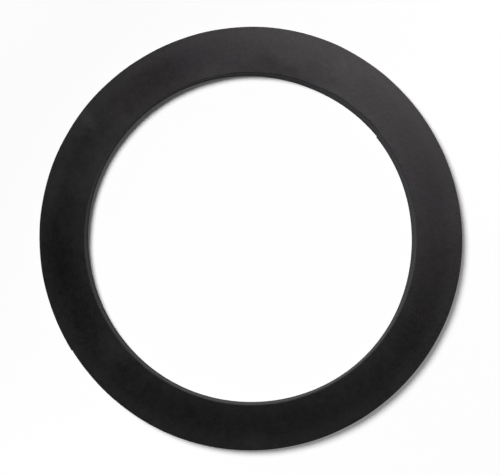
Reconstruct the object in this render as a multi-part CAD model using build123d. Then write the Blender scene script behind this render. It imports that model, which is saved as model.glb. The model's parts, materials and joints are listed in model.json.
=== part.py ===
from build123d import *
from math import radians, sin
import os

# A flat ring gasket for a raised-face pipe flange, knife-cut in one piece from rubber sheet.
# Millimetres and degrees. +Z is the ring's axis, the origin is the centre of the lower face,
# and angles run counter-clockwise from +X as seen from above.

# Driving dimensions
OUTER_DIAMETER = 279.4  # passes just inside the flange bolts
BORE_DIAMETER = 219.1  # clears the pipe's own bore
THICKNESS = 6.35  # of the rubber sheet

# The knife went in through the upper face and drew that face's skin down with it,
# so the upper edges are rounded and the lower ones are nearly sharp.
ENTRY_EDGE_RADIUS = 0.8
EXIT_EDGE_RADIUS = 0.25

# The knife turned on a pivot that crept before each cut closed. From the closing angle on,
# the wall runs off its circle by the depth of a small step and meets it again after the reach.
RIM_CLOSING_ANGLE = 212
RIM_STEP_DEPTH = 0.6
RIM_STEP_REACH = 36
BORE_CLOSING_ANGLE = 39
BORE_STEP_DEPTH = 0.6
BORE_STEP_REACH = 30

BORE_RADIUS = BORE_DIAMETER / 2
OUTER_RADIUS = OUTER_DIAMETER / 2
FACE_WIDTH = OUTER_RADIUS - BORE_RADIUS


def rounded_section():
    """The section through one side of the ring, bore wall to rim, with its four edges rounded."""
    section = Pos(BORE_RADIUS, 0) * Rectangle(FACE_WIDTH, THICKNESS, align=(Align.MIN, Align.MIN))
    section = fillet(section.vertices().group_by(Axis.Y)[-1], ENTRY_EDGE_RADIUS)
    section = fillet(section.vertices().group_by(Axis.Y)[0], EXIT_EDGE_RADIUS)
    return Plane.XZ * section


def quarter_slice(start_angle):
    """A flat quarter slice that starts at this angle and runs well past the rim."""
    far = 2 * OUTER_RADIUS
    return Rot(0, 0, start_angle) * Rectangle(far, far, align=(Align.MIN, Align.MIN))


def crept_disc(radius, depth, reach, pivot_angle):
    """The knife's circle after its pivot crept towards pivot_angle, by what opens the step."""
    creep = depth / sin(radians(reach))
    return Pos(Vector(creep, 0).rotate(Axis.Z, pivot_angle)) * Circle(radius)


def rim_closing_cut():
    """What came off the rim, outside the crept circle until that circle leaves the rim."""
    pivot_angle = RIM_CLOSING_ANGLE + RIM_STEP_REACH + 90
    kept = crept_disc(OUTER_RADIUS, RIM_STEP_DEPTH, RIM_STEP_REACH, pivot_angle)
    return extrude(quarter_slice(RIM_CLOSING_ANGLE) - kept, THICKNESS)


def bore_closing_cut():
    """What came off the bore wall, inside the crept circle until that circle leaves the wall."""
    pivot_angle = BORE_CLOSING_ANGLE + BORE_STEP_REACH - 90
    taken = crept_disc(BORE_RADIUS, BORE_STEP_DEPTH, BORE_STEP_REACH, pivot_angle)
    return extrude(quarter_slice(BORE_CLOSING_ANGLE) & taken, THICKNESS)


def make_ring():
    """The gasket: its section turned about the axis, less what the two closing cuts took."""
    return revolve(rounded_section(), Axis.Z) - rim_closing_cut() - bore_closing_cut()


os.makedirs("parts", exist_ok=True)
export_step(make_ring(), "parts/gasket_ring.step")
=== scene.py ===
"""Looks of a knife-cut rubber ring gasket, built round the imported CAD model.

Metres and radians, in the CAD's frame. +Z is the ring's axis, and angles run counter-clockwise from +X.
"""

import json
import math

import bpy
import numpy as np
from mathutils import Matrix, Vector


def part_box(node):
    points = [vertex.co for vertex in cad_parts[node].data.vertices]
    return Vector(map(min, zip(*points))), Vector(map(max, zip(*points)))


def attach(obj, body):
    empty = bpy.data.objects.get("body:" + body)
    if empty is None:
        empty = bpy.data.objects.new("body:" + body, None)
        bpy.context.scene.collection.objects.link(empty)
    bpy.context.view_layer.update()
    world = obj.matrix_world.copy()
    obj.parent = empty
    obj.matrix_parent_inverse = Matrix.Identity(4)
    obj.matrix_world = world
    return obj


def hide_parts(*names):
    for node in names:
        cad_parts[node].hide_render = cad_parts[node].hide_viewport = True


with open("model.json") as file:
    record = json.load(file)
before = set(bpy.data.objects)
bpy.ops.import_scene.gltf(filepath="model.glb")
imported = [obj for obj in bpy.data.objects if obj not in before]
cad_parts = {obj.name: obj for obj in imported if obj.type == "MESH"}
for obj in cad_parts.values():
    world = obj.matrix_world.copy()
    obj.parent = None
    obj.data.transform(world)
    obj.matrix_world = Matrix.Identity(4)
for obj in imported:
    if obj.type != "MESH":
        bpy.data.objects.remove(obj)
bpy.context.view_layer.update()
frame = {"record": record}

MM = 0.001
TURN = 2 * math.pi

# The ring's sizes, from the frame
LOW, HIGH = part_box("gasket_ring")
RIM_RADIUS = (HIGH.x - LOW.x) / 2
THICKNESS = HIGH.z - LOW.z
MOUNTS = {mount["name"]: mount for mount in frame["record"]["mounts"]}
BORE_RADIUS = MOUNTS["bore"]["dims"]["r_mm"] * MM

# The cut edges: soft where the knife went in, nearly sharp where it came out
ENTRY_EDGE_RADIUS = 0.6 * MM
EXIT_EDGE_RADIUS = 0.25 * MM

# Where each cut closed on a small step, and how far on the wall meets its circle again
RIM_CLOSING = dict(angle=math.radians(212), depth=0.35 * MM, reach=math.radians(36))
BORE_CLOSING = dict(angle=math.radians(39), depth=0.6 * MM, reach=math.radians(30))
STEP_WIDTH = 0.35 * MM  # a step is torn over this length of wall, not cut square

RIM_OUT = 0.15 * MM  # the whole rim was cut this far outside its circle

# How each cut wanders off its circle: (waves in a turn, height, where a wave peaks in degrees)
RIM_WANDER = ((2, 0.15 * MM, 103), (3, 0.08 * MM, 85), (4, 0.24 * MM, 75), (5, 0.06 * MM, 67))
BORE_WANDER = ((1, 0.05 * MM, 213), (2, 0.08 * MM, 119))

# The knife leaned in and out as it cut the bore, so the wall's foot lies inside its top and wanders more
BORE_FOOT_IN = 0.15 * MM
BORE_FOOT_WANDER = ((1, 0.5 * MM, 213), (2, 0.6 * MM, 119), (4, 0.17 * MM, 41), (5, 0.13 * MM, 32))

# Mesh resolution
COLUMNS = 1200
FACE_INSETS = (0, 0.4 * MM, 1.0 * MM, 2.0 * MM, 4.0 * MM, 8.0 * MM, 13.0 * MM)  # rows in from a face's edge
WALL_ROWS = 12
ENTRY_ROWS = 7
EXIT_ROWS = 3
STEP_COLUMNS = (-0.6, -0.4, -0.15, 0.15, 0.4, 0.6)  # more columns across a closing step, in step widths

# Knife marks on the cut walls
WALL_DISH = 0.12 * MM  # hollow at mid height, because the rubber bulged as it was cut
CHATTER_HEIGHT = 0.03 * MM
CHATTER_LEAN = 0.9  # how far a mark runs along the wall for each step up it
CHATTER_WAVES = (60, 420)  # fewest and most in a turn
RIM_CHATTER_SEED = 11
BORE_CHATTER_SEED = 13

# The upper edge's radius varies by about this share of itself, in slow waves
ENTRY_VARIES = 0.2
ENTRY_WAVES = (3, 30)
ENTRY_SEED = 5

# The upper face isn't quite flat, and its mean lies below the sheet's thickness by this many waves' height
FACE_WAVINESS = 0.05 * MM
FACE_DROP = 1.5
FACE_WAVES = (2, 9)
FACE_SEED = 7


def wander(angles, waves):
    """How far off its circle a hand-set cut runs."""
    return sum(height * np.cos(count * (angles - math.radians(peak))) for count, height, peak in waves)


def closing_step(angles, closing, radius):
    """How deep the wall lies behind its circle after the angle where the cut closed."""
    after = np.mod(angles - closing["angle"] + math.pi, TURN) - math.pi
    opening = np.clip(after * radius / STEP_WIDTH + 0.5, 0, 1)
    depth = closing["depth"] * np.sin(closing["reach"] - after) / math.sin(closing["reach"])
    in_reach = (after > -STEP_WIDTH / radius) & (after < closing["reach"])
    return np.where(in_reach, opening * depth, 0)


def random_waves(angles, fewest, most, seed, count=70):
    """A smooth random curve round the ring, about -1 to 1, of waves between two counts in a turn."""
    draw = np.random.default_rng(seed)
    total = np.zeros_like(angles)
    for number in draw.integers(fewest, most, count):
        total += np.cos(number * angles + draw.uniform(0, TURN))
    return total / math.sqrt(count)


def column_angles():
    """Even angles round the ring, with more where the two closing steps need them."""
    even = np.arange(COLUMNS) * TURN / COLUMNS
    close = [
        closing["angle"] + offset * STEP_WIDTH / RIM_RADIUS
        for closing in (RIM_CLOSING, BORE_CLOSING)
        for offset in STEP_COLUMNS
    ]
    return np.unique(np.concatenate([even, close]))


def edge_arc(rows, start, end):
    """Unit steps (along, up) round a quarter arc between two angles in degrees, ends left out."""
    turns = np.radians(np.linspace(start, end, rows + 2)[1:-1])
    return np.cos(turns), np.sin(turns)


def ring_rows(angles):
    """Each row of the section round the ring: (radius, height, cut mask) by column."""
    rim = RIM_RADIUS + RIM_OUT + wander(angles, RIM_WANDER) - closing_step(angles, RIM_CLOSING, RIM_RADIUS)
    bore = BORE_RADIUS + wander(angles, BORE_WANDER) + closing_step(angles, BORE_CLOSING, BORE_RADIUS)
    foot = bore - BORE_FOOT_IN + wander(angles, BORE_FOOT_WANDER)
    entry = ENTRY_EDGE_RADIUS * (1 + ENTRY_VARIES * random_waves(angles, *ENTRY_WAVES, seed=ENTRY_SEED))
    leave = EXIT_EDGE_RADIUS * np.ones_like(angles)
    top = THICKNESS + FACE_WAVINESS * (random_waves(angles, *FACE_WAVES, seed=FACE_SEED) - FACE_DROP)
    rows = []

    def add(radius, height, cut):
        rows.append((radius, height, cut * np.ones_like(angles)))

    def face(height, start, end):
        """A flat face between two edges, with rows close to each edge."""
        side = np.sign(end - start)
        for inset in FACE_INSETS:
            add(start + side * inset, height, 0)
        for inset in reversed(FACE_INSETS):
            add(end - side * inset, height, 0)

    def arc(centre_radius, centre_height, size, side, start, end, count):
        """A rounded edge, more cut than face the nearer it comes to the wall."""
        along, up = edge_arc(count, start, end)
        for x, y in zip(along, up):
            add(centre_radius + side * size * x, centre_height + size * y, x)

    def wall(edge, foot_edge, side, heights, seed):
        """A cut wall, hollow at mid height and marked by the knife."""
        for share in heights:
            height = leave + (top - entry - leave) * share
            lean = CHATTER_LEAN * height / RIM_RADIUS
            marks = random_waves(angles + lean, *CHATTER_WAVES, seed=seed) * math.sin(math.pi * share) ** 0.5
            hollow = WALL_DISH * math.sin(math.pi * share) + CHATTER_HEIGHT * marks
            add(foot_edge + (edge - foot_edge) * share - side * hollow, height, 1)

    shares = np.linspace(0, 1, WALL_ROWS)
    floor = np.zeros_like(angles)
    face(floor, foot + leave, rim - leave)
    arc(rim - leave, leave, leave, 1, -90, 0, EXIT_ROWS)
    wall(rim, rim, 1, shares, seed=RIM_CHATTER_SEED)
    arc(rim - entry, top - entry, entry, 1, 0, 90, ENTRY_ROWS)
    face(top, rim - entry, bore + entry)
    arc(bore + entry, top - entry, entry, -1, 90, 0, ENTRY_ROWS)
    wall(bore, foot, -1, shares[::-1], seed=BORE_CHATTER_SEED)
    arc(foot + leave, leave, leave, -1, 0, -90, EXIT_ROWS)
    return rows


def make_ring():
    """The ring as one closed mesh, rows of the section joined round the turn."""
    angles = column_angles()
    rows = ring_rows(angles)
    count, turns = len(rows), len(angles)
    radius, height, cut = (np.array([row[i] for row in rows]) for i in range(3))
    points = np.stack([radius * np.cos(angles), radius * np.sin(angles), height], axis=-1).reshape(-1, 3)
    faces = [
        (
            row * turns + column,
            row * turns + (column + 1) % turns,
            (row + 1) % count * turns + (column + 1) % turns,
            (row + 1) % count * turns + column,
        )
        for row in range(count)
        for column in range(turns)
    ]
    mesh = bpy.data.meshes.new("gasket_rubber")
    mesh.from_pydata(points.tolist(), [], faces)
    mesh.attributes.new("cut", "FLOAT", "POINT").data.foreach_set("value", cut.ravel())
    mesh.validate()
    mesh.shade_smooth()
    ring = bpy.data.objects.new("gasket_rubber", mesh)
    bpy.context.scene.collection.objects.link(ring)
    return ring


class Nodes:
    """Adds nodes to one material and links them, so that a material reads as a list of steps."""

    def __init__(self, name):
        self.material = bpy.data.materials.new(name)
        self.material.use_nodes = True
        self.tree = self.material.node_tree
        self.tree.nodes.clear()
        self.output = self.tree.nodes.new("ShaderNodeOutputMaterial")

    def add(self, kind, inputs=None, **settings):
        node = self.tree.nodes.new("ShaderNode" + kind)
        for key, value in settings.items():
            setattr(node, key, value)
        for key, value in (inputs or {}).items():
            self.put(node.inputs[key], value)
        return node

    def put(self, socket, value):
        if isinstance(value, bpy.types.NodeSocket):
            self.tree.links.new(value, socket)
        else:
            socket.default_value = value

    def math(self, operation, *values):
        node = self.add("Math", operation=operation)
        for socket, value in zip(node.inputs, values):
            self.put(socket, value)
        return node.outputs[0]

    def noise(self, place, scale, detail=2.0, roughness=0.5, distortion=0.0):
        """Smooth noise at this many cells a metre, centred on 0, about -1 to 1."""
        inputs = {
            "Vector": place,
            "Scale": scale,
            "Detail": detail,
            "Roughness": roughness,
            "Distortion": distortion,
        }
        found = self.add("TexNoise", inputs).outputs["Fac"]
        return self.math("MULTIPLY_ADD", found, 4.0, -2.0)

    def ramp(self, value, low, high, out_low=0.0, out_high=1.0):
        """Value eased from low..high to out_low..out_high, and held beyond."""
        inputs = {
            "Value": value,
            "From Min": low,
            "From Max": high,
            "To Min": out_low,
            "To Max": out_high,
        }
        return self.add("MapRange", inputs, interpolation_type="SMOOTHSTEP").outputs["Result"]


# The rubber's colours, before the bloom is added
FACE_COLOUR = (0.0046, 0.0045, 0.0045)
CUT_COLOUR = (0.024, 0.024, 0.027)

# How much each layer of the bloom adds to the face's colour, as a share of it
CLOUDS = 0.22
MOTTLE = 0.3
SPECKLE = 0.6
GRAIN = 0.35
RIM_BLOOM = 1.20
BORE_BLOOM = 0.75
LEAST_SHADE = 0.1  # no spot is darker than this share of the face's colour

# How fine each layer is, in cells a metre
CLOUD_SCALE = 38
MOTTLE_SCALE = 150
SPECKLE_SCALE = 420
GRAIN_SCALE = 1100

# How far in from its edge each edge's bloom starts, and where it is full
RIM_BLOOM_REACH = (13 * MM, 3 * MM)
BORE_BLOOM_REACH = (11.5 * MM, 1 * MM)

ROUGHNESS = 0.57
CUT_ROUGHNESS = 0.9
CLOUD_ROUGHNESS = 0.06  # more where the bloom is thicker
UNEVEN = 0.04 * MM  # the sheet's slow ups and downs, which the sheen shows up
UNEVEN_MOTTLE = 0.6  # the mottle's and the speckle's part in them, against the clouds'
UNEVEN_SPECKLE = 0.35
GRAIN_HEIGHT = 0.013 * MM

# Where the bloom lies thicker or has been rubbed thinner, and where the sheen's highlight and shade are
# painted in:
# the angle in degrees, the distance from the axis and the reach across the face and along it in mm,
# then what it adds to the colour and to the roughness
PATCHES = (
    (20, 126, 10, 14, -0.4, 0),
    (6, 134, 8, 14, 0.5, 0),
    (52, 125, 9, 6, -0.5, 0),
    # painted highlight: this entry lightens the colour where the softbox's sheen peaks
    (61, 126, 9, 12, 0.6, -0.03),
    # painted shade: this entry darkens the colour where the sheen fades towards the bore; its roughness dulls
    # the sheen there
    (80, 111, 10, 36, -0.7, 0.13),
    (104, 114, 6, 8, 0.8, 0),
    (116, 123, 16, 24, -0.8, -0.09),
    (138, 118, 11, 8, 0.9, 0.05),
    (144, 132, 12, 6, 1.3, 0.06),
    (150, 128, 7, 7, -0.4, 0),
    (152, 113, 9, 26, 0.7, 0.03),
    (162, 126, 12, 9, 0.4, 0.02),
    (186, 134, 11, 40, -0.9, -0.06),
    (192, 119, 14, 50, -0.5, -0.04),
    (219, 117, 14, 12, 1.0, 0.04),
    (223, 131, 10, 10, 0.5, 0.02),
    (247, 119, 8, 8, -0.3, 0),
    (254, 136, 6, 7, -0.5, 0),
    (271, 132, 8, 9, 0.8, 0.02),
    (280, 134, 8, 8, -0.5, 0),
    (312, 132, 10, 12, -0.6, 0),
    (328, 124, 20, 56, -0.35, -0.03),
    (343, 121, 12, 12, -0.3, 0),
)

PATCH_FADE = 1.4  # a patch fades to nothing at this many times its reach
PATCH_RAG_SCALE = 90
PATCH_RAG = 24 * MM  # how far a patch's outline is pushed about


def patches(n, place):
    """What the patches add to the colour and to the roughness. Their outlines are ragged."""
    rag = n.add("TexNoise", {"Vector": place, "Scale": PATCH_RAG_SCALE, "Detail": 3.0}).outputs["Color"]
    rag = n.add("VectorMath", {0: rag, 1: (0.5, 0.5, 0.5)}, operation="SUBTRACT").outputs["Vector"]
    rag = n.add("VectorMath", {0: rag, "Scale": PATCH_RAG}, operation="SCALE").outputs["Vector"]
    ragged = n.add("VectorMath", {0: place, 1: rag}, operation="ADD").outputs["Vector"]
    colour = rough = 0.0
    for angle, from_axis, across, along, more_colour, more_rough in PATCHES:
        turn = math.radians(angle)
        inputs = {
            "Vector": ragged,
            "Location": (from_axis * MM * math.cos(turn), from_axis * MM * math.sin(turn), 0),
            "Rotation": (0, 0, turn),
            "Scale": (across * MM, along * MM, 1),
        }
        from_middle = n.add("Mapping", inputs, vector_type="TEXTURE").outputs["Vector"]
        off = n.add("VectorMath", {0: from_middle}, operation="LENGTH").outputs["Value"]
        share = n.ramp(off, PATCH_FADE, 0.0)
        colour = n.math("MULTIPLY_ADD", share, more_colour, colour)
        if more_rough:
            rough = n.math("MULTIPLY_ADD", share, more_rough, rough)
    return colour, rough


def rubber_material():
    """Black sheet rubber: a thin cloudy bloom over it, paler towards the edges, a painted highlight and
    painted shade in the sheen, and greyer cut walls.
    """
    n = Nodes("black sheet rubber")
    place = n.add("TexCoord").outputs["Object"]
    split = n.add("SeparateXYZ", {"Vector": place}).outputs
    radius = n.math("SQRT", n.math("ADD", n.math("POWER", split["X"], 2.0), n.math("POWER", split["Y"], 2.0)))
    upper = n.ramp(split["Z"], 0.3 * THICKNESS, 0.7 * THICKNESS)
    cut = n.add("Attribute", attribute_name="cut").outputs["Fac"]

    clouds = n.noise(place, CLOUD_SCALE, detail=3, roughness=0.55, distortion=0.4)
    mottle = n.noise(place, MOTTLE_SCALE, detail=3, roughness=0.6)
    speckle = n.noise(place, SPECKLE_SCALE, detail=2, roughness=0.7)
    grain = n.noise(place, GRAIN_SCALE, detail=2, roughness=0.7)
    cloudy = n.math("MULTIPLY_ADD", mottle, MOTTLE, n.math("MULTIPLY", clouds, CLOUDS))
    patch_colour, patch_rough = patches(n, place)

    edge_out = n.ramp(radius, *(RIM_RADIUS - reach for reach in RIM_BLOOM_REACH))
    edge_in = n.ramp(radius, *(BORE_RADIUS + reach for reach in BORE_BLOOM_REACH))
    tone_shift = n.math("MULTIPLY_ADD", speckle, SPECKLE, n.math("MULTIPLY_ADD", grain, GRAIN, cloudy))
    tone_shift = n.math("MULTIPLY_ADD", edge_out, RIM_BLOOM, tone_shift)
    tone_shift = n.math("MULTIPLY_ADD", edge_in, BORE_BLOOM, tone_shift)
    # the patches' colour is bloom, and at 61 and 80 degrees a painted highlight and painted shade of the
    # sheen
    tone_shift = n.math("MULTIPLY_ADD", patch_colour, upper, tone_shift)
    shade = n.math("MAXIMUM", n.math("ADD", tone_shift, 1.0), LEAST_SHADE)
    face = n.add("VectorMath", {0: FACE_COLOUR, "Scale": shade}, operation="SCALE").outputs["Vector"]
    mix = n.add("Mix", data_type="RGBA")
    n.put(mix.inputs["Factor"], cut)
    n.put(mix.inputs[6], face)  # inputs 6 and 7 are the pair of colours
    n.put(mix.inputs[7], (*CUT_COLOUR, 1))

    rough = n.math("MULTIPLY_ADD", cloudy, CLOUD_ROUGHNESS, ROUGHNESS)
    rough = n.math("MULTIPLY_ADD", patch_rough, upper, rough)
    rough = n.math("MULTIPLY_ADD", cut, CUT_ROUGHNESS - ROUGHNESS, rough)

    slow = n.math("MULTIPLY_ADD", mottle, UNEVEN_MOTTLE, clouds)
    slow = n.math("MULTIPLY_ADD", speckle, UNEVEN_SPECKLE, slow)
    waves = n.add("Bump", {"Height": slow, "Strength": 1.0, "Distance": UNEVEN}).outputs[0]
    bump = n.add("Bump", {"Height": grain, "Strength": 1.0, "Distance": GRAIN_HEIGHT, "Normal": waves})
    looks = {"Base Color": mix.outputs[2], "Roughness": rough, "Normal": bump.outputs[0]}
    shader = n.add("BsdfPrincipled", looks)
    n.tree.links.new(shader.outputs[0], n.output.inputs["Surface"])
    return n.material


KEY_AZIMUTH = 138  # the key's compass angle, which the table's lift follows
STUDIO = 3.0  # from the middle of the table to the backdrop
BACKDROP_HEIGHT = 1.2
BACKDROP_SIDES = 48
FLOOR_WHITE = 0.97

# How much the table is lifted towards plain white for the camera
LIFT_MIDDLE = 0.13
LIFT_AWAY = 0.75  # more for each metre away from the key
LIFT_ASIDE = 1.9  # and for each square metre to its sides
LIFT_FAR = (0.25, 0.6)  # metres from the middle between which it grows to the whole


def seen_directly(n):
    """1 for what the camera, a reflection or a clear part looks at, 0 for light that a surface gathers."""
    path = n.add("LightPath").outputs
    seen = n.math("MAXIMUM", path["Is Camera Ray"], path["Is Glossy Ray"])
    return n.math("MAXIMUM", seen, path["Is Transmission Ray"])


def floor_material():
    """Matt white, lifted to plain white for the camera where the key's light is thinner."""
    n = Nodes("white table")
    place = n.add("TexCoord").outputs["Object"]
    turn = math.radians(KEY_AZIMUTH)
    away = n.add("VectorMath", {0: place, 1: (-math.cos(turn), -math.sin(turn), 0)}, operation="DOT_PRODUCT")
    aside = n.add("VectorMath", {0: place, 1: (-math.sin(turn), math.cos(turn), 0)}, operation="DOT_PRODUCT")
    short = n.math("MULTIPLY_ADD", away.outputs["Value"], LIFT_AWAY, LIFT_MIDDLE)
    short = n.math("MULTIPLY_ADD", n.math("POWER", aside.outputs["Value"], 2.0), LIFT_ASIDE, short)
    far = n.ramp(n.add("VectorMath", {0: place}, operation="LENGTH").outputs["Value"], *LIFT_FAR)
    lift = n.math("MINIMUM", n.math("MAXIMUM", short, far), 1.0)
    paper = n.add("BsdfDiffuse", {"Color": (FLOOR_WHITE, FLOOR_WHITE, FLOOR_WHITE, 1)})
    glow = n.add("Emission", {"Color": (1, 1, 1, 1), "Strength": n.math("MULTIPLY", seen_directly(n), lift)})
    both = n.add("AddShader")
    n.tree.links.new(paper.outputs[0], both.inputs[0])
    n.tree.links.new(glow.outputs[0], both.inputs[1])
    n.tree.links.new(both.outputs[0], n.output.inputs["Surface"])
    return n.material


def backdrop_material():
    """Plain white to look at, and gives no light to the ring."""
    n = Nodes("white backdrop")
    glow = n.add("Emission", {"Color": (1, 1, 1, 1), "Strength": seen_directly(n)})
    n.tree.links.new(glow.outputs[0], n.output.inputs["Surface"])
    return n.material


def add_scenery(name, corners, faces, material):
    """A part of the studio, not of the gasket."""
    mesh = bpy.data.meshes.new(name)
    mesh.from_pydata(corners, [], faces)
    mesh.materials.append(material)
    scenery = bpy.data.objects.new(name, mesh)
    bpy.context.scene.collection.objects.link(scenery)
    return scenery


def make_studio():
    """The table, and a round white backdrop that low views see behind it."""
    corners = [(-STUDIO, -STUDIO, 0), (STUDIO, -STUDIO, 0), (STUDIO, STUDIO, 0), (-STUDIO, STUDIO, 0)]
    add_scenery("table", corners, [(0, 1, 2, 3)], floor_material())
    sides = BACKDROP_SIDES
    angles = [TURN * side / sides for side in range(sides)]
    ring_at = [(STUDIO * math.cos(a), STUDIO * math.sin(a), z) for z in (0, BACKDROP_HEIGHT) for a in angles]
    faces = [(i, (i + 1) % sides, sides + (i + 1) % sides, sides + i) for i in range(sides)]
    backdrop = add_scenery("backdrop", ring_at, faces, backdrop_material())
    backdrop.visible_diffuse = False


def aim(thing, target):
    thing.rotation_euler = (Vector(target) - thing.location).to_track_quat("-Z", "Y").to_euler()


def from_centre(azimuth, elevation, distance):
    """A place seen from the ring's centre at this compass angle and height angle, in degrees."""
    turn, rise = math.radians(azimuth), math.radians(elevation)
    flat = distance * math.cos(rise)
    return Vector((flat * math.cos(turn), flat * math.sin(turn), distance * math.sin(rise)))


def add_lamp(lamp, azimuth, elevation, distance):
    """Puts up a lamp that points at the ring's centre."""
    holder = bpy.data.objects.new(lamp.name, lamp)
    holder.location = from_centre(azimuth, elevation, distance)
    bpy.context.scene.collection.objects.link(holder)
    aim(holder, (0, 0, 0))
    return holder


# Lamps stand at (compass angle, height angle, distance from the centre)
KEY_PLACE = (KEY_AZIMUTH, 50.5, 0.65)
KEY_SIZE = 0.30
KEY_LEVEL = 11.4
SOFTBOX_PLACE = (60, 40, 0.73)
SOFTBOX_SIZE = 0.70
SOFTBOX_LEVEL = 5.2
SOFTBOX_COLOUR = (1, 0.905, 0.975)
WORLD_LEVEL = 0.02


def even_reach(lamp, level):
    """Makes a lamp as bright far from it as near it."""
    lamp.use_nodes = True
    nodes = lamp.node_tree.nodes
    fall = nodes.new("ShaderNodeLightFalloff")
    fall.inputs["Strength"].default_value = level
    lamp.node_tree.links.new(fall.outputs["Constant"], nodes["Emission"].inputs["Strength"])


def make_key():
    """Close by on the upper left: it lights the face and draws the shadow. The sheen is the softbox's."""
    key = bpy.data.lights.new("key", "AREA")
    key.shape = "DISK"
    key.size = KEY_SIZE
    key.energy = 1
    even_reach(key, KEY_LEVEL)
    add_lamp(key, *KEY_PLACE).visible_glossy = False


def make_softbox():
    """From the upper right: the satin sheen on that side is its reflection."""
    box = bpy.data.lights.new("softbox", "AREA")
    box.shape = "DISK"
    box.size = SOFTBOX_SIZE
    box.energy = SOFTBOX_LEVEL
    box.color = SOFTBOX_COLOUR
    add_lamp(box, *SOFTBOX_PLACE).visible_diffuse = False


def make_light():
    make_key()
    make_softbox()
    world = bpy.data.worlds.new("studio")
    world.use_nodes = True
    background = world.node_tree.nodes["Background"]
    background.inputs["Color"].default_value = (1, 1, 1, 1)
    background.inputs["Strength"].default_value = WORLD_LEVEL
    bpy.context.scene.world = world


# The camera looks straight down on the ring, from where a phone or a small camera is held
CAMERA_PLACE = (-0.00052, 0.00075, 0.318)
LENS = 34
SENSOR_WIDTH = 36


def make_camera():
    camera = bpy.data.cameras.new("camera")
    camera.lens = LENS
    camera.sensor_width = SENSOR_WIDTH
    holder = bpy.data.objects.new("camera", camera)
    holder.location = CAMERA_PLACE
    bpy.context.scene.collection.objects.link(holder)
    bpy.context.scene.camera = holder


ring = make_ring()
ring.data.materials.append(rubber_material())
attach(ring, "root")
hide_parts("gasket_ring")
make_studio()
make_light()
make_camera()
bpy.context.scene.view_settings.view_transform = "Standard"
